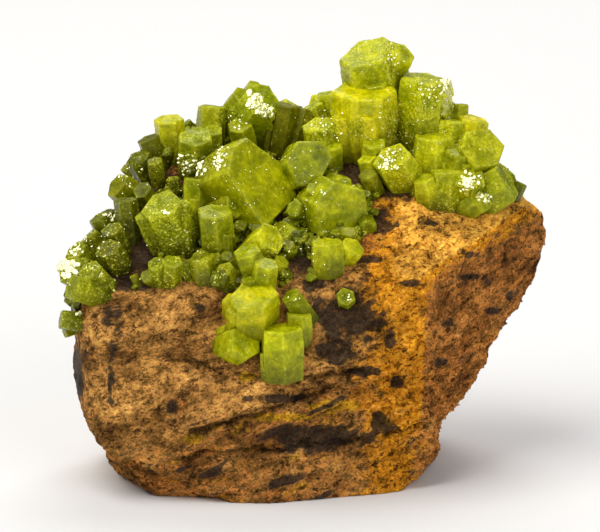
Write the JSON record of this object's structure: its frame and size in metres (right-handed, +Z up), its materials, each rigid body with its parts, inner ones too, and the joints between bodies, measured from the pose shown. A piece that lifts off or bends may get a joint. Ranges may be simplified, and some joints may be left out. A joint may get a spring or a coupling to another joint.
{
  "type": "pyromorphite specimen",
  "caption": "Mineral hand specimen: green stubby hexagonal pyromorphite prisms in clusters on a broken block of brown limonite matrix, resting on a flat face.",
  "frame": {"origin": "on the resting face, under the middle of the specimen", "axes": "+Z up from the resting face, -Y towards the viewer of the show face, +X to that viewer's right"},
  "size_m": [0.0482, 0.0321, 0.0417],
  "materials": {
    "limonite": "rough, earthy",
    "pyromorphite": "resinous, translucent"
  },
  "bodies": {
    "root": {"central_cluster": "pyromorphite", "central_cluster_2": "pyromorphite", "central_cluster_3": "pyromorphite", "front_trio": "pyromorphite", "left_barrel": "pyromorphite", "left_barrel_2": "pyromorphite", "left_druse": "pyromorphite", "left_druse_2": "pyromorphite", "left_fringe_lower": "pyromorphite", "left_fringe_middle": "pyromorphite", "left_fringe_middle_2": "pyromorphite", "left_fringe_middle_3": "pyromorphite", "left_fringe_upper": "pyromorphite", "left_fringe_upper_2": "pyromorphite", "left_fringe_upper_3": "pyromorphite", "lone_button": "pyromorphite", "low_pair": "pyromorphite", "low_pair_2": "pyromorphite", "matrix_rock": "limonite", "ochre_crystals": "pyromorphite", "peak_prism": "pyromorphite", "rear_left_prisms": "pyromorphite", "rear_left_prisms_2": "pyromorphite", "rear_left_prisms_3": "pyromorphite", "rear_middle_prisms": "pyromorphite", "rear_middle_prisms_2": "pyromorphite", "rear_right_prisms": "pyromorphite", "rear_right_prisms_2": "pyromorphite", "rear_right_prisms_3": "pyromorphite", "right_cluster": "pyromorphite", "summit_cluster": "pyromorphite", "summit_cluster_2": "pyromorphite", "upper_left_prisms": "pyromorphite", "upper_left_prisms_2": "pyromorphite", "upper_left_prisms_3": "pyromorphite"}
  },
  "joints": []
}
